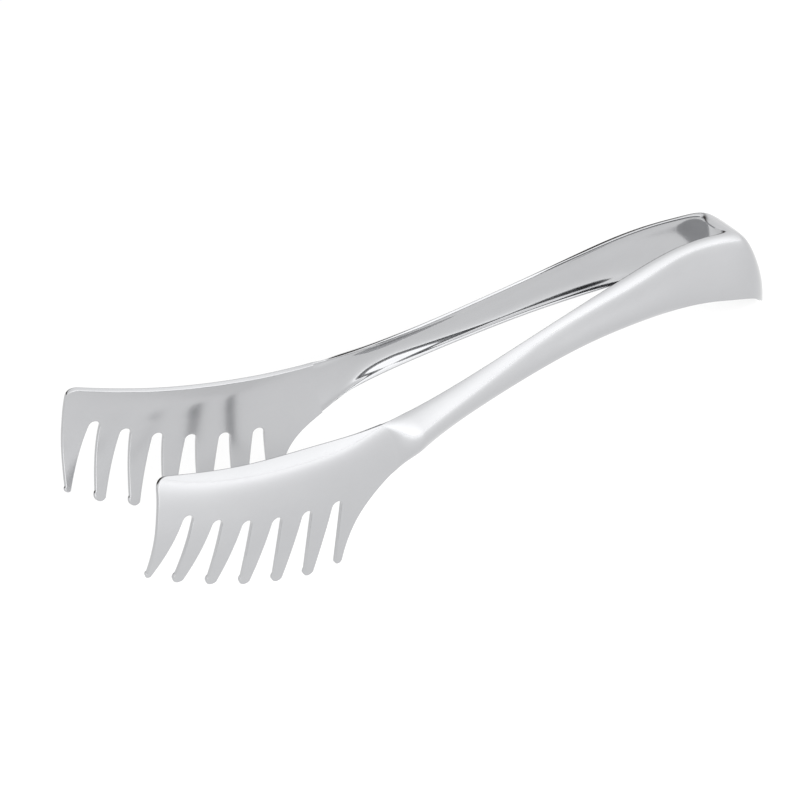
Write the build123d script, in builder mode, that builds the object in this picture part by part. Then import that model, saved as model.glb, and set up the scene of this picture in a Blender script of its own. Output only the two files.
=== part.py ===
from build123d import *
import math
import os

# Spaghetti serving tongs pressed and bent from stainless steel sheet, standing as on a table.
# Millimetres. +X points to the bow, +Z is up, Y = 0 is the plane between the two arms.
# The near arm has y < 0. The origin is under the middle of the length, on the table.

# Driving dimensions
half_length = 126.2  # half of the overall length, comb tips to bow
splay_angle = 5.85  # each arm opens this much from the X axis, at rest
arm_root_x = 95.0  # where the arms leave the bow
arm_root_y = 7.5  # half of the opening between the rims there
sheet = 1.6  # steel thickness
neck_x = -36.0  # where a handle ends and its comb begins

# The bow: the strip turns round in a beak-shaped U
hinge_x = 117.0  # the arms swing about a vertical line here
joint_radius = 16.0  # the bow ends and the arms begin at this distance from that line
joint_gap = 0.2  # clearance between the bow and an arm, all round that line
beak_radius = 100.0  # the end of the bow is an arc of this radius in side view
beak_level = 2.0  # height at which that arc is upright
bow_depth = 9.0  # how far the turn of the U reaches along X

# The combs
tine_count = 7
slot_top_radius = 2.3
slot_mouth_width = 9.4
slot_overrun = 0.12  # each slot is cut on past the tips by this part of its length
tine_tip_radius = 1.0
free_corner_radius = 3.5


def rim_y(x):
    """Half of the opening between the rims of the two arms at x."""
    return arm_root_y + (arm_root_x - x) * math.tan(math.radians(splay_angle))


def sheet_section(x, top, crown, foot):
    """Section across an arm at x: a strip of sheet curved outwards from top through crown to foot.

    Each of the three points is (distance outside the rim line, height) on the outer face.
    """
    outer_points = [Vector(-(rim_y(x) + out), height) for out, height in (top, crown, foot)]
    with BuildSketch(Plane.YZ.offset(x)) as section:
        with BuildLine():
            outer = ThreePointArc(*outer_points)
            centre = outer.arc_center
            inner_points = [p + (centre - p).normalized() * sheet for p in outer_points]
            ThreePointArc(*inner_points)
            Line(outer_points[0], inner_points[0])
            Line(outer_points[2], inner_points[2])
        make_face()
    return section.sketch


# One handle: a channel of half-round section that widens and flattens towards the bow.
# Each station is x, then the top rim, the crown and the foot rim.
handle_stations = [
    (neck_x, (0.6, 45.1), (2.2, 35.2), (0.6, 25.4)),
    (-25.0, (0.0, 43.8), (6.0, 35.8), (1.0, 28.2)),
    (0.0, (0.0, 42.9), (3.7, 36.2), (1.2, 30.2)),
    (35.0, (0.0, 43.9), (2.7, 36.5), (1.0, 29.9)),
    (70.0, (0.0, 45.0), (4.0, 34.0), (2.7, 25.9)),
    (92.0, (0.4, 43.4), (4.4, 31.0), (4.4, 20.6)),
    (112.0, (1.8, 37.8), (6.5, 27.0), (7.6, 11.8)),
]
with BuildPart() as near_handle:
    loft([sheet_section(*station) for station in handle_stations])
    with BuildSketch(Plane.XY):
        with Locations((hinge_x, 0)):
            Circle(joint_radius + joint_gap)
    extrude(amount=60, mode=Mode.SUBTRACT)
near_handle.part.label = "near_handle"

# One comb: a shallow trough of sheet, cut to the outline of a head with seven tines.
# Its stations run past the outline on every side, and the outline trims them.
comb_stations = [
    (-131.0, (-1.2, 86.0), (1.9, 69.0), (-5.6, 30.0)),
    (-95.0, (-0.9, 66.0), (2.8, 45.5), (-5.0, 7.0)),
    (-60.0, (-0.9, 54.0), (2.6, 32.5), (-5.0, -6.0)),
    (-46.0, (-0.5, 50.0), (2.4, 33.0), (-3.2, 6.0)),
    (neck_x, (-0.1, 47.0), (2.2, 35.2), (-0.1, 23.4)),
]
free_corner = (-115.7, 73.9)
first_tip = (-half_length, 38.9)
middle_tip = (-94.2, 16.9)
last_tip = (-57.5, -0.25)
first_slot_top = (-109.9, 54.1)
middle_slot_top = (-85.7, 36.9)
last_slot_top = (-58.3, 26.5)
first_slot_mouth = (-120.1, 35.0)
middle_slot_mouth = (-94.2, 17.2)
last_slot_mouth = (-64.95, 2.55)
neck_top = (neck_x, 45.1)
neck_foot = (neck_x, 25.4)

with BuildPart() as near_comb:
    loft([sheet_section(*station) for station in comb_stations])
    with BuildSketch(Plane.XZ) as outline:
        with BuildLine():
            Spline(neck_top, (-73.0, 54.5), free_corner, tangents=[(-1, 0.17), (-1, 0.55)])
            Line(free_corner, first_tip)
            tip_line = ThreePointArc(first_tip, middle_tip, last_tip)
            Spline(last_tip, (-50.2, 17.4), neck_foot, tangents=[(0.35, 1), (1, 0.35)])
            Line(neck_foot, neck_top)
        make_face()
        corner = outline.vertices().sort_by_distance(free_corner)[0]
        fillet(corner, free_corner_radius)
        with BuildLine(mode=Mode.PRIVATE) as slot_ends:
            slot_tops = ThreePointArc(first_slot_top, middle_slot_top, last_slot_top)
            slot_mouths = ThreePointArc(first_slot_mouth, middle_slot_mouth, last_slot_mouth)
        slot_count = tine_count - 1
        for slot in range(slot_count):
            along = slot / (slot_count - 1)
            slot_top = slot_tops @ along
            run = slot_mouths @ along - slot_top
            down = run.normalized()
            side = Vector(-down.Y, down.X)
            mouth = slot_top + run * (1 + slot_overrun)
            mouth_flare = slot_overrun * (slot_mouth_width / 2 - slot_top_radius)
            mouth_side = side * (slot_mouth_width / 2 + mouth_flare)
            with Locations(slot_top):
                Circle(slot_top_radius, mode=Mode.SUBTRACT)
            with BuildLine():
                Polyline(
                    slot_top + side * slot_top_radius,
                    mouth + mouth_side,
                    mouth - mouth_side,
                    slot_top - side * slot_top_radius,
                    close=True,
                )
            make_face(mode=Mode.SUBTRACT)
        tip_corners = [v for v in outline.vertices() if tip_line.distance_to(v) < 0.01]
        fillet(tip_corners, tine_tip_radius)
    extrude(amount=60, both=True, mode=Mode.INTERSECT)
near_comb.part.label = "near_comb"

# The bow: outer and inner skins of the U, lofted upwards, with a wall of sheet between.
# Each level is height and the half width of the U there.
bow_levels = [(-4.0, 11.0), (8.0, 13.1), (20.0, 12.9), (30.0, 11.6), (44.0, 7.6)]


def beak_x(height):
    """X of the end of the bow at a height."""
    rise = height - beak_level
    return half_length + math.sqrt(beak_radius**2 - rise**2) - beak_radius


def bow_level(height, half_width, inset):
    """Level section of the U, filled, drawn in from the outer face by inset."""
    end_x = beak_x(height) - inset
    depth = bow_depth - inset
    width = half_width - inset
    back_x = 98.0
    with BuildSketch(Plane.XY.offset(height)) as level:
        with BuildLine():
            EllipticalCenterArc((end_x - depth, 0), depth, width, start_angle=-90, arc_size=180)
            Polyline(
                (end_x - depth, width),
                (back_x, width),
                (back_x, -width),
                (end_x - depth, -width),
            )
        make_face()
    return level.sketch


with BuildPart() as bow:
    loft([bow_level(*level, 0.0) for level in bow_levels])
    loft([bow_level(*level, sheet) for level in bow_levels], mode=Mode.SUBTRACT)
    with BuildSketch(Plane.XY.offset(-10)):
        with Locations((hinge_x, 0)):
            Circle(joint_radius)
    extrude(amount=70, mode=Mode.INTERSECT)
    with BuildSketch(Plane.XZ):
        with BuildLine():
            Spline((99.0, 42.4), (108.0, 39.6), (116.5, 34.4), (121.5, 27.0))
            Polyline((121.5, 27.0), (132.0, 20.0), (132.0, 0.0), (125.6, 0.0))
            Spline((125.6, 0.0), (119.0, 7.8), (108.6, 14.0), (99.0, 18.0))
            Line((99.0, 18.0), (99.0, 42.4))
        make_face()
    extrude(amount=40, both=True, mode=Mode.INTERSECT)
bow.part.label = "bow"

# The far arm is the mirror image of the near one.
with BuildPart() as far_handle:
    mirror(near_handle.part, about=Plane.XZ)
far_handle.part.label = "far_handle"

with BuildPart() as far_comb:
    mirror(near_comb.part, about=Plane.XZ)
far_comb.part.label = "far_comb"

os.makedirs("parts", exist_ok=True)
for piece in (bow, near_handle, near_comb, far_handle, far_comb):
    export_step(piece.part, f"parts/{piece.part.label}.step")
    box = piece.part.bounding_box()
    print(piece.part.label, len(piece.part.solids()), round(piece.part.volume), box.min, box.max)
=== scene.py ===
import math

import bpy
import numpy as np
from mathutils import Matrix, Vector, geometry


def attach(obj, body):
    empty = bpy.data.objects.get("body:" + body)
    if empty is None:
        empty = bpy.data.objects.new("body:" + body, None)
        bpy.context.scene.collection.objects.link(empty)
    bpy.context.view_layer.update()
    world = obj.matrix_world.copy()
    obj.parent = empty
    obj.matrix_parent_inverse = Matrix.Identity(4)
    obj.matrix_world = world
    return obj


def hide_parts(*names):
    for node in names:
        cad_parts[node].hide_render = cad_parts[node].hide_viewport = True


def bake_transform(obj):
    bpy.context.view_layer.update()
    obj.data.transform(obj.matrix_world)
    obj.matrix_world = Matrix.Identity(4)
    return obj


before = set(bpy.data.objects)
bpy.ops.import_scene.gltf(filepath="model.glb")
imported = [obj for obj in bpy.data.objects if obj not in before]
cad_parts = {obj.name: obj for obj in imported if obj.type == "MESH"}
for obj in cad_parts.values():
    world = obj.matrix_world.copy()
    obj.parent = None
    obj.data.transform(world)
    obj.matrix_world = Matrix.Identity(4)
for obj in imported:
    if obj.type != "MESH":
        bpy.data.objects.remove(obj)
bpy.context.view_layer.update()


# ---------------------------------------------------------------------------------------------
# The bow. One strip of stainless sheet turns round in a U here and is the spring of the tongs.
# It is pressed hollow on the inside first, with its top edge rolled over, then bent, and its end
# comes down to a point like a beak. Sizes are in millimetres, and meshes in metres.
MM = 0.001
sheet = 1.5  # thickness, a guess
edge_round = 0.3  # how far a polished edge swells past the flat cut
worn_reach = 0.07  # share of the strip's width over which each rim gets thinner
worn_away = 0.4  # share of the thickness that is gone at the rims
splay = math.tan(math.radians(5.85))  # each arm opens this much from the X axis
arm_root_x = 95.0  # the straight arms start here
arm_root_gap = 7.5  # half of the opening between the rims there
arm_root_ease = 6.0  # length over which a rim eases from one into the other
bow_start_x = 100.0  # the handles run into the bow here
bow_depth = 22.0  # how far the middle of the U is from there
beak_radius = 100.0  # the end of the bow is this arc in side view
beak_tip_x = 125.2
beak_tip_z = 2.0
pointed_below = 34.0  # from this height down, the U gets more pointed in plan
face_steps = 44  # mesh steps across the outer face of the strip
edge_steps = 7  # mesh steps round an edge
bow_steps = 120  # mesh steps round the U


def through(*points):
    """A smooth curve y(x) through a few points, as a natural cubic spline."""
    x, y = np.array(points, float).T
    h = np.diff(x)
    slopes = np.diff(y) / h
    bend = np.zeros(len(x))
    if len(x) > 2:
        rows = np.diag(2 * (h[:-1] + h[1:])) + np.diag(h[1:-1], 1) + np.diag(h[1:-1], -1)
        bend[1:-1] = np.linalg.solve(rows, 6 * np.diff(slopes))

    def curve(at):
        at = np.asarray(at, float)
        k = np.clip(np.searchsorted(x, at) - 1, 0, len(h) - 1)
        right, left = at - x[k], x[k + 1] - at
        cubic = (bend[k] * left**3 + bend[k + 1] * right**3) / (6 * h[k])
        return (
            cubic
            + (y[k] / h[k] - bend[k] * h[k] / 6) * left
            + (y[k + 1] / h[k] - bend[k + 1] * h[k] / 6) * right
        )

    return curve


def smooth_step(t):
    t = np.clip(t, 0, 1)
    return t * t * (3 - 2 * t)


def rim_y(x):
    """Half of the opening between the rims of the two arms: straight, easing into the bow."""
    past_root = np.log1p(np.exp((arm_root_x - x) / arm_root_ease))
    return arm_root_gap + splay * arm_root_ease * past_root


# Side view of the strip: its top and its foot rim.
rim_top = through(
    (-118, 74.6), (-90, 60.9), (-62, 51.4), (-36, 45.1), (-20, 43.3), (0, 42.9),
    (35, 43.9), (66, 44.9), (88, 44.4), (104, 41.4), (116, 36.6), (130, 24),
)
rim_foot = through(
    (-43, 22.4), (-36, 25.4), (-24, 28.4), (0, 30.2), (20, 30.3), (45, 29.2),
    (70, 25.9), (90, 21.7), (108, 15.2), (118, 9.2), (124.6, 1.4), (127, -2),
)

# How the outer face leans in section: degrees that it looks upwards, at these shares of the way
# from the top rim to the foot rim, for a few X. 90 at the top is a rim rolled right over.
tilt_places = (0, 0.1, 0.22, 0.36, 0.5, 0.75, 0.9, 1)
tilt_table = {
    -24: (86, 58, 42, 27, 8, -32, -55, -66),
    -3: (72, 50, 33, 18, 5, -22, -47, -62),
    26: (56, 30, 16, 9, 7, -9, -33, -66),
    57: (84, 40, 13, 5, 8, -7, -31, -60),
    72: (95, 44, 13, 4, 7.5, -2, -26, -52),
    88: (98, 34, 7, 5.5, 7, 3, -8, -25),
    104: (98, 30, 8, 6, 6, 4, -1, -7),
    113: (96, 36, 10, 7, 6, 4, -1, -5),
    122: (94, 46, 18, 8, 6, 3, 0, -2),
}
tilt_columns = [
    through(*((x, tilts[k]) for x, tilts in tilt_table.items())) for k in range(len(tilt_places))
]


def even_steps(curve, steps):
    """Points at even distances along a finely drawn curve."""
    run = np.concatenate([[0], np.cumsum(np.linalg.norm(np.diff(curve, axis=0), axis=1))])
    at = np.linspace(0, run[-1], steps + 1)
    return np.stack([np.interp(at, run, curve[:, k]) for k in range(curve.shape[1])], axis=1)


def hollow_section(x, top, foot):
    """Outer face of the strip in section, from the top rim to the foot rim.

    Returns (distance outside the rim line, height) pairs.
    """
    along = np.linspace(0, 1, 1200)
    tilt = np.radians(through(*zip(tilt_places, [column(x) for column in tilt_columns]))(along))
    steps = np.stack([np.sin(tilt), -np.cos(tilt)], axis=1)
    fine = np.concatenate([[(0, 0)], np.cumsum((steps[1:] + steps[:-1]) / 2, axis=0)])
    return even_steps(fine * (top - foot) / -fine[-1, 1] + (0, top), face_steps)


def bow_row(turn):
    """Outer face of the strip at one angle round the U: 0 on the near side, pi on the far side."""
    quarter = max(min(turn, math.pi - turn), 0.0)
    section_x = bow_start_x + bow_depth * math.sin(quarter) ** 0.5

    def end_x(height):
        return beak_tip_x - beak_radius + np.sqrt(beak_radius**2 - (height - beak_tip_z) ** 2)

    def place(out, height):
        low = np.clip((pointed_below - height) / pointed_below, 0, 1)
        reach = math.sin(quarter) ** (0.5 + 0.45 * low)
        sideways = np.abs(math.cos(turn)) ** (0.7 + 0.6 * low) * np.sign(math.cos(turn))
        x = bow_start_x + (end_x(height) - (crown - out) - bow_start_x) * reach
        return x, -(rim_y(x) + out) * sideways

    # The rims' heights depend on where the row lands, and the other way round, so both are
    # found in small steps from a first guess.
    top, foot = 38.0, 8.0
    for _ in range(40):
        section = hollow_section(section_x, top, foot)
        crown = section[:, 0].max()
        top = 0.5 * top + 0.5 * float(rim_top(place(0.0, top)[0]))
        foot = 0.7 * foot + 0.3 * float(rim_foot(place(section[-1, 0], foot)[0]))
    out, height = section.T
    x, y = place(out, height)
    return np.stack([x, y, height], axis=1)


def across(rows):
    """Unit normals of a grid of points, away from the left of its rows."""
    along = np.gradient(rows, axis=0)
    down = np.gradient(rows, axis=1)
    normal = np.cross(down, along)
    return normal / np.linalg.norm(normal, axis=2, keepdims=True)


def edge_loop(outer, inner, onward):
    """Points round a polished edge, a flattened half round from the outer to the inner face."""
    middle, half = (outer + inner) / 2, (outer - inner) / 2
    loop = []
    for k in range(1, edge_steps):
        turn = math.pi * k / edge_steps
        side = math.copysign(abs(math.cos(turn)) ** 0.5, math.cos(turn))
        loop.append(middle + half * side + onward * edge_round * math.sin(turn) ** 0.8)
    return loop


def unit(v):
    return v / np.linalg.norm(v, axis=-1, keepdims=True)


def strip_mesh(name, rows, hollow, thickness):
    """A strip of sheet whose outer face is a grid of points, with one spare row at each end.

    Its inner face follows the hollow, a second grid, at the thickness of the sheet. The two ends
    stay open, because the next piece goes on from there.
    """
    share = np.linspace(0, 1, rows.shape[1])
    worn = np.exp(-((share / worn_reach) ** 2)) + np.exp(-(((1 - share) / worn_reach) ** 2))
    inner = hollow - across(hollow) * thickness * (1 - worn_away * worn)[:, None]
    foot = edge_loop(rows[:, -1], inner[:, -1], unit(rows[:, -1] - rows[:, -2]))
    top = edge_loop(inner[:, 0], rows[:, 0], unit(rows[:, 0] - rows[:, 1]))
    ring = np.concatenate(
        [rows, np.stack(foot, axis=1), inner[:, ::-1], np.stack(top, axis=1)], axis=1
    )
    along = np.gradient(ring, axis=0)
    around = np.roll(ring, -1, axis=1) - np.roll(ring, 1, axis=1)
    shade = unit(np.cross(around, along))
    ring, shade = ring[1:-1], shade[1:-1]
    count, size = ring.shape[:2]
    faces, face_shades = [], []
    for i in range(count - 1):
        for j in range(size):
            nxt = (j + 1) % size
            corners = [(i, j), (i, nxt), (i + 1, nxt), (i + 1, j)]
            faces.append([a * size + b for a, b in corners])
            face_shades += [shade[a, b] for a, b in corners]
    return solid(name, ring.reshape(-1, 3), faces, face_shades)


def solid(name, points, faces, face_shades):
    """A mesh object from points in millimetres, with a given normal at every corner of a face."""
    mesh = bpy.data.meshes.new(name)
    mesh.from_pydata([tuple(p) for p in np.asarray(points) * MM], [], faces)
    mesh.shade_smooth()
    mesh.normals_split_custom_set([tuple(n) for n in face_shades])
    mesh.validate(clean_customdata=False)
    piece = bpy.data.objects.new(name, mesh)
    bpy.context.scene.collection.objects.link(piece)
    return piece


def round_the_bow():
    """Angles round the U whose points stand at about even distances."""
    depth, half_width = 20.0, 12.0
    turns = np.concatenate([[0], np.geomspace(1e-4, 1, 400)]) * math.pi / 2
    turns = np.concatenate([turns, (math.pi - turns)[-2::-1]])
    reach = np.sin(np.minimum(turns, math.pi - turns)).clip(0) ** 0.45
    sideways = np.sign(np.cos(turns)) * np.abs(np.cos(turns)) ** 0.7
    path = np.stack([depth * reach, -half_width * sideways], axis=1)
    run = np.concatenate([[0], np.cumsum(np.linalg.norm(np.diff(path, axis=0), axis=1))])
    return np.interp(np.linspace(0, run[-1], bow_steps + 1), run, turns)


bow_rows = [bow_row(turn) for turn in round_the_bow()]
spare_near = 2 * bow_rows[0] - bow_rows[1]
spare_far = 2 * bow_rows[-1] - bow_rows[-2]
bow_grid = np.array([spare_near, *bow_rows, spare_far])
bow = strip_mesh("bow", bow_grid, bow_grid, sheet)


class Wire:
    """An output socket in a tree of nodes. Arithmetic on it adds Math nodes."""

    def __init__(self, tree, socket):
        self.tree = tree
        self.socket = socket

    def node(self, kind, settings=None, sockets=None, out=0):
        """Adds any node: its settings first, then the values or links of its sockets."""
        made = self.tree.nodes.new(kind)
        for key, value in (settings or {}).items():
            setattr(made, key, value)
        for key, value in (sockets or {}).items():
            if isinstance(value, Wire):
                self.tree.links.new(value.socket, made.inputs[key])
            else:
                made.inputs[key].default_value = value
        return Wire(self.tree, made.outputs[out])

    def maths(self, operation, first, second):
        return self.node("ShaderNodeMath", {"operation": operation}, {0: first, 1: second})

    def __add__(self, other):
        return self.maths("ADD", self, other)

    def __radd__(self, other):
        return self.maths("ADD", other, self)

    def __rsub__(self, other):
        return self.maths("SUBTRACT", other, self)

    def __mul__(self, other):
        return self.maths("MULTIPLY", self, other)


def polished_steel(name, shine, wave_height):
    """Mirror-polished stainless steel: faint clouds of polish, hairlines along it, slow waves."""
    steel = bpy.data.materials.new(name)
    steel.use_nodes = True
    tree = steel.node_tree
    shader = tree.nodes["Principled BSDF"]
    shader.inputs["Metallic"].default_value = 1.0
    place = Wire(tree, tree.nodes.new("ShaderNodeTexCoord").outputs["Object"])
    clouds = place.node(
        "ShaderNodeTexNoise", {}, {"Vector": place, "Scale": 45.0, "Detail": 3.0, "Roughness": 0.5}
    )
    # Stretched along X, so that they run with the arms.
    drawn_out = place.node(
        "ShaderNodeVectorMath", {"operation": "MULTIPLY"}, {0: place, 1: (1.0, 14.0, 14.0)}
    )
    hairlines = place.node(
        "ShaderNodeTexNoise", {}, {"Vector": drawn_out, "Scale": 160.0, "Detail": 4.0}
    )
    waves = place.node(
        "ShaderNodeTexNoise", {}, {"Vector": place, "Scale": 38.0, "Detail": 0.0}
    )
    bluer, paler = (0.425, 0.428, 0.44, 1), (0.48, 0.484, 0.492, 1)
    patchy = clouds * 0.6 + hairlines * 0.4
    colour = place.node(
        "ShaderNodeMix", {"data_type": "RGBA"}, {"Factor": patchy, "A": bluer, "B": paler}, out=2
    )
    bump = place.node(
        "ShaderNodeBump", {}, {"Height": waves, "Strength": 0.25, "Distance": wave_height * MM}
    )
    tree.links.new(colour.socket, shader.inputs["Base Color"])
    tree.links.new((shine + clouds * 0.03 + hairlines * 0.03).socket, shader.inputs["Roughness"])
    tree.links.new(bump.socket, shader.inputs["Normal"])
    return steel


bow.data.materials.append(polished_steel("bow_steel", 0.09, 0.05))
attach(bow, "bow")
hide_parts("bow")


# ---------------------------------------------------------------------------------------------
# The two handles. Each is the strip again, pressed into a half-round channel that is hollow on
# the inside. It flattens and widens towards the bow, and at the neck its round back ends in a
# crescent-shaped shoulder where the thin comb begins. The far one mirrors the near one.
neck_x = -36.0  # the handle ends and the shoulder starts here, at the two rims
shoulder_bulge = 2.5  # how much further back the shoulder stands in the middle
shoulder_length = 9.0
crescent = 2.5  # power that shapes its curve from rim to rim
hollow_bulge = 5.0  # the same two sizes for the inside
hollow_length = 26.0
full_channel_x = -24.0  # in front of this the section of the channel stays the same

# How the comb in front of the neck is dished at each X: the height of its crown, the bulge
# there, and how it curves above and below the crown. It runs on under the shoulder.
crown_height = through((-118, 58), (-95, 48), (-60, 37.5), (-46, 36), (-36, 36), (-20, 36))
crown_bulge = through((-118, 2.4), (-95, 3.0), (-60, 2.7), (-46, 2.4), (-36, 1.9), (-26, 2.3))
upper_curve = through(
    (-118, 0.0013), (-95, 0.0026), (-60, 0.0038), (-46, 0.0044), (-36, 0.0044), (-26, 0.005)
)
lower_slope = through((-118, 0.4), (-95, 0.27), (-60, 0.25), (-46, 0.3), (-36, 0.38), (-26, 0.46))
lower_ease = 18.0  # length over which the slope below the crown sets in


def comb_face(flat):
    """Points of the outer face above (x, z) pairs."""
    x, z = np.asarray(flat, float).T
    above = z - crown_height(x)
    fall = np.where(
        above > 0,
        upper_curve(x) / 3 * above**3,
        lower_slope(x) * (np.sqrt(above**2 + lower_ease**2) - lower_ease),
    )
    return np.stack([x, -(rim_y(x) + crown_bulge(x) - fall), z], axis=1)


def handle_row(x, bulge, length, ease):
    """One face of a handle in the plane across X at x, from the top rim to the foot rim.

    Behind the neck the dish of the comb changes into the channel, by the ease, over the length.
    """
    top, foot = float(rim_top(x)), float(rim_foot(x))
    channel = hollow_section(max(x, full_channel_x), top, foot)
    if x > neck_x + bulge + length:
        out, height = channel.T
        return np.stack([np.full(face_steps + 1, x), -(rim_y(x) + out), height], axis=1)
    down = np.linspace(top, foot, 400)
    face = comb_face(np.stack([np.full_like(down, x), down], axis=1))
    flat = even_steps(np.stack([-face[:, 1] - rim_y(x), face[:, 2]], axis=1), face_steps)
    side = np.linspace(1, -1, face_steps + 1)
    start = neck_x + bulge * (1 - np.abs(side) ** crescent)
    share = ease(np.clip((x - start) / length, 0, 1)[:, None])
    out, height = ((1 - share) * flat + share * channel).T
    return np.stack([np.full(face_steps + 1, x), -(rim_y(x) + out), height], axis=1)


def shoulder_ease(t):
    return 1 - (1 - t) ** 1.5


def handle_grid(bulge, length, ease):
    """Rows from just in front of the neck, closer together round the shoulder, to the bow."""
    neck_stations = np.arange(neck_x - 0.5, -16, 0.5)
    grip_stations = np.arange(-16, bow_start_x + 0.5, 1.0)
    stations = np.concatenate([neck_stations, grip_stations])
    return np.array([handle_row(x, bulge, length, ease) for x in stations] + [bow_rows[1]])


handle_rows = handle_grid(shoulder_bulge, shoulder_length, shoulder_ease)
# Inside there is no shoulder: the comb runs gently into the channel.
handle_hollow = handle_grid(hollow_bulge, hollow_length, smooth_step)


def mirrored(rows):
    """The same strip on the far side of the tongs, wound so that its outside stays outside."""
    return rows[::-1] * np.array([1, -1, 1])


for side, rows, hollow in (
    ("near", handle_rows, handle_hollow),
    ("far", mirrored(handle_rows), mirrored(handle_hollow)),
):
    handle = strip_mesh(f"{side}_handle", rows, hollow, sheet)
    handle.data.materials.append(polished_steel(f"{side}_handle_steel", 0.09, 0.05))
    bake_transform(handle)
    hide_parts(f"{side}_handle")


# ---------------------------------------------------------------------------------------------
# The two combs. Each head is the flat end of the strip, dished to a shallow trough, and stamped
# out with seven tapering tines whose tips lean in towards the other head. The edges are rounded.
# The far one mirrors the near one.
slot_count = 6
slot_radius = 2.3
slot_mouth = 9.6  # width of a slot between the tine tips
slot_curve = 1.25  # power of its flare on the side towards the bow, which leaves the tines curved
free_corner = (-115.4, 72.9)
corner_cut = 3.6  # how far the rounding of the free corner reaches along each side
first_tip = (-125.0, 39.6)
last_tip = (-57.9, 1.7)
mesh_pitch = 1.5
inside_shading = (1, 1, 0.45)  # levels the inner face's normals, so that its tines look light


def comb_slopes(flat):
    """How the outer face runs along x and along z above (x, z) pairs."""
    small = 0.01
    flat = np.asarray(flat, float)
    along = comb_face(flat + (small, 0)) - comb_face(flat - (small, 0))
    upward = comb_face(flat + (0, small)) - comb_face(flat - (0, small))
    return unit(along), unit(upward)


def line(start, end, pitch=0.6):
    """Points from start up to, but without, end."""
    start, end = np.array(start, float), np.array(end, float)
    count = max(2, int(np.linalg.norm(end - start) / pitch))
    return start + (end - start) * np.arange(count)[:, None] / count


def arc_through(first, middle, last, count):
    """Points at even steps on the circle through three points."""
    a, b, c = (np.array(p, float) for p in (first, middle, last))
    sides = np.array([2 * (b - a), 2 * (c - a)])
    centre = np.linalg.solve(sides, [b @ b - a @ a, c @ c - a @ a])
    start, end = (math.atan2(*(p - centre)[::-1]) for p in (a, c))
    turn = np.linspace(start, end, count)
    radius = np.linalg.norm(a - centre)
    return centre + radius * np.stack([np.cos(turn), np.sin(turn)], axis=1)


def bent(start, control, end, count=9):
    """A short curve from start up to, but without, end, pulled towards control."""
    t = (np.arange(count) / count)[:, None]
    return (1 - t) ** 2 * np.array(start) + 2 * t * (1 - t) * np.array(control) + t**2 * np.array(end)


def tine_end(left, right):
    """The rounded tip between the feet of a tine's two sides."""
    left, right = np.array(left), np.array(right)
    middle, half = (left + right) / 2, (right - left) / 2
    downward = np.array([half[1], -half[0]])
    turn = np.linspace(0, math.pi, 11)[:-1, None]
    return middle - half * np.cos(turn) + downward * np.sin(turn)


def comb_outline():
    """The stamped outline, anticlockwise from the neck's top rim round to its foot rim."""
    top_x = np.arange(neck_x, free_corner[0] + corner_cut * 0.8, -0.7)
    top_edge = np.stack([top_x, rim_top(top_x)], axis=1)
    corner, tip = np.array(free_corner), np.array(first_tip)
    free_edge = corner + unit(tip - corner) * corner_cut
    parts = [top_edge, bent(top_edge[-1], corner, free_edge)[1:], line(free_edge, tip)]

    tops = arc_through((-109.9, 54.1), (-85.5, 36.9), (-58.2, 26.5), slot_count)
    mouths = arc_through((-120.2, 35.6), (-94.0, 17.6), (-64.8, 2.9), slot_count)
    left_foot = tip
    for top, mouth in zip(tops, mouths):
        run = mouth - top
        side = unit(np.array([-run[1], run[0]]))
        share = np.linspace(0, 1, 34)[:, None]
        flare = slot_mouth / 2 - slot_radius
        left_side = top + run * share - side * (slot_radius + flare * share)
        right_side = top + run * share + side * (slot_radius + flare * share**slot_curve)
        turn = np.linspace(0, math.pi, 15)[1:-1, None]
        arch = top - side * slot_radius * np.cos(turn) - unit(run) * slot_radius * np.sin(turn)
        parts += [tine_end(left_foot, left_side[-1]), left_side[::-1], arch, right_side[:-1]]
        left_foot = right_side[-1]

    parts.append(tine_end(left_foot, last_tip))
    back = (last_tip, (-55.0, 9.6), (-50.0, 17.2), (-43.6, 22.0), (neck_x, float(rim_foot(neck_x))))
    run_at = (0, 9, 17, 24, 32)  # how far along the back of the last tine each of these is
    back_x, back_z = (through(*zip(run_at, values)) for values in zip(*back))
    steps = np.linspace(0, run_at[-1], 56)
    parts.append(np.stack([back_x(steps), back_z(steps)], axis=1))
    return np.concatenate(parts)


def inside(points, outline):
    """Which points lie within a closed outline."""
    x, z = points[:, :1], points[:, 1:]
    ax, az = outline.T
    bx, bz = np.roll(outline, -1, axis=0).T
    crosses = ((az > z) != (bz > z)) & (x < (bx - ax) * (z - az) / (bz - az + 1e-12) + ax)
    return crosses.sum(axis=1) % 2 == 1


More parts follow.
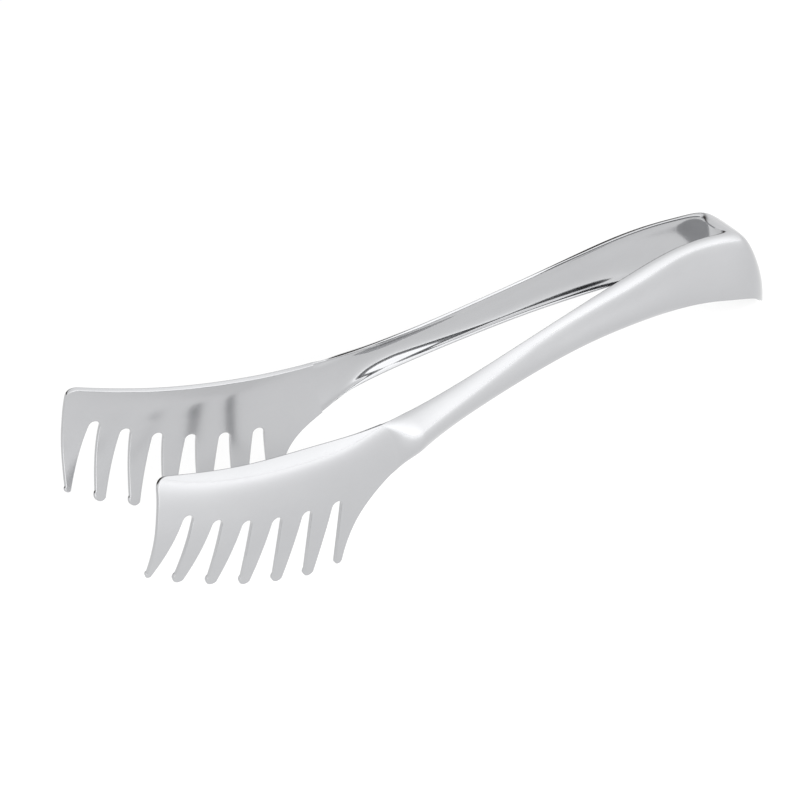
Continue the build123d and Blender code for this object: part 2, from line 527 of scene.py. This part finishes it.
def comb_mesh(name, mirror):
    """One comb: an outer and an inner face of small triangles, and a rounded edge between them."""
    edge = comb_outline()
    seam = handle_rows[1][1:-1, [0, 2]][::-1]
    outline = np.concatenate([edge, seam])
    low, high = outline.min(axis=0), outline.max(axis=0)
    grid = np.stack(
        np.meshgrid(*(np.arange(a, b, mesh_pitch) for a, b in zip(low, high))), axis=2
    ).reshape(-1, 2)
    grid = grid[inside(grid, outline)]
    gap = np.array([np.linalg.norm(outline - p, axis=1).min() for p in grid])
    grid = grid[gap > 0.55 * mesh_pitch]
    flat = np.concatenate([outline, grid])
    rim = [(k, (k + 1) % len(outline)) for k in range(len(outline))]
    flat, _, triangles, *_ = geometry.delaunay_2d_cdt([Vector(p) for p in flat], rim, [], 1, 1e-6)
    flat = np.array(flat)

    along, upward = comb_slopes(flat)
    normal = unit(np.cross(along, upward))
    hollow = unit(-normal * inside_shading)
    outer = comb_face(flat)
    inner = outer - normal * sheet
    count = len(edge)
    heading = np.gradient(edge, axis=0)
    outward = heading[:, 1:] * along[:count] - heading[:, :1] * upward[:count]
    rounded = edge_loop(outer[:count], inner[:count], unit(outward))
    loops = np.stack([outer[:count], *rounded, inner[:count]], axis=1)
    shade = unit(np.cross(np.gradient(loops, axis=1), np.gradient(loops, axis=0)))
    shade[:, 0] = normal[:count]
    shade[:, -1] = hollow[:count]

    points = np.concatenate([outer, inner, loops[:, 1:-1].reshape(-1, 3)])
    total = len(flat)

    def point(k, step):
        """Index of one of the points round the edge, at outline point k."""
        if step == 0:
            return k
        if step == edge_steps:
            return total + k
        return 2 * total + k * (edge_steps - 1) + step - 1

    faces = [list(t) for t in triangles] + [[total + k for k in t[::-1]] for t in triangles]
    shades = [normal[k] for t in triangles for k in t]
    shades += [hollow[k] for t in triangles for k in t[::-1]]
    for k in range(count - 1):
        for step in range(edge_steps):
            corners = [(k, step), (k, step + 1), (k + 1, step + 1), (k + 1, step)]
            faces.append([point(*c) for c in corners])
            shades += [shade[c] for c in corners]
    if mirror:
        points = points * (1, -1, 1)
        flipped, start = [], 0
        for face in faces:
            flipped += [n * (1, -1, 1) for n in shades[start:start + len(face)][::-1]]
            start += len(face)
        faces, shades = [face[::-1] for face in faces], flipped
    return solid(name, points, faces, shades)


for side in ("near", "far"):
    comb = comb_mesh(f"{side}_comb", side == "far")
    comb.data.materials.append(polished_steel(f"{side}_comb_steel", 0.09, 0.08))
    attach(comb, f"{side}_arm")
    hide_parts(f"{side}_comb")


# ---------------------------------------------------------------------------------------------
# The studio. The tongs stand on their last tines and the beak of the bow, on a table that glows
# like lit opal glass. The room is a soft dome, brightest in front, with a round dark patch behind
# the tongs. A low soft light brightens the table in front of them and shows in no reflection.
floor_half = 0.75
floor_mesh = bpy.data.meshes.new("floor")
unit_square = ((-1, -1), (1, -1), (1, 1), (-1, 1))
floor_corners = [(x * floor_half, y * floor_half, 0) for x, y in unit_square]
floor_mesh.from_pydata(floor_corners, [], [(0, 1, 2, 3)])
floor = bpy.data.objects.new("floor", floor_mesh)
bpy.context.scene.collection.objects.link(floor)
opal = bpy.data.materials.new("opal_glass")
opal.use_nodes = True
glass_shader = opal.node_tree.nodes["Principled BSDF"]
glass_shader.inputs["Base Color"].default_value = (0.15, 0.15, 0.15, 1)
glass_shader.inputs["Roughness"].default_value = 0.9
glass_shader.inputs["Emission Color"].default_value = (1, 1, 1, 1)
glass_shader.inputs["Emission Strength"].default_value = 0.75
floor_mesh.materials.append(opal)

studio = bpy.data.worlds.new("studio")
bpy.context.scene.world = studio
studio.use_nodes = True
dome = studio.node_tree
facing = Wire(dome, dome.nodes.new("ShaderNodeTexCoord").outputs["Generated"])
sideways = facing.node("ShaderNodeSeparateXYZ", {}, {"Vector": facing}, out=1)
brightness = facing.node("ShaderNodeValToRGB", {}, {"Fac": 0.5 - sideways * 0.5})
ramp = brightness.socket.node.color_ramp
stops = (
    (0.03, (0.02, 0.017, 0.015)),
    (0.12, (0.03, 0.026, 0.023)),
    (0.15, (0.5, 0.5, 0.5)),
    (0.5, (0.62, 0.62, 0.62)),
    (0.79, (0.78, 0.78, 0.78)),
    (0.975, (0.93, 0.93, 0.93)),
)
while len(ramp.elements) < len(stops):
    ramp.elements.new(0.5)
for element, (position, colour) in zip(ramp.elements, stops):
    element.position = position
    element.color = (*colour, 1)
dome.links.new(brightness.socket, dome.nodes["Background"].inputs["Color"])
dome.nodes["Background"].inputs["Strength"].default_value = 2.42

low_data = bpy.data.lights.new("low_softbox", "AREA")
low_data.shape = "RECTANGLE"
low_data.size, low_data.size_y = 1.6, 0.5
low_data.energy = 21.0
low_softbox = bpy.data.objects.new("low_softbox", low_data)
low_softbox.location = (0.2, -0.42, 0.2)
low_softbox.visible_glossy = False
low_softbox.visible_camera = False
bpy.context.scene.collection.objects.link(low_softbox)

# The camera looks down on the tongs from in front of the near comb, tipped a little to one side.
yaw, elevation, roll = -0.46139, 0.65446, -0.17425
distance = 0.96517
target = Vector((-0.01768, 0.0, 0.032566))
sideways_x, sideways_y = math.cos(yaw), math.sin(yaw)
flat_back = Vector((sideways_y, -sideways_x, 0.0))
back = flat_back * math.cos(elevation) + Vector((0.0, 0.0, math.sin(elevation)))
level = Vector((sideways_x, sideways_y, 0.0))
upright = back.cross(level)
right = level * math.cos(roll) + upright * math.sin(roll)
up = upright * math.cos(roll) - level * math.sin(roll)
camera_data = bpy.data.cameras.new("camera")
camera_data.lens, camera_data.sensor_width = 135.0, 36.0
camera = bpy.data.objects.new("camera", camera_data)
turned = Matrix((right, up, back)).transposed().to_4x4()
camera.matrix_world = Matrix.Translation(target + back * distance) @ turned
bpy.context.scene.collection.objects.link(camera)
bpy.context.scene.camera = camera
bpy.context.scene.view_settings.view_transform = "Standard"
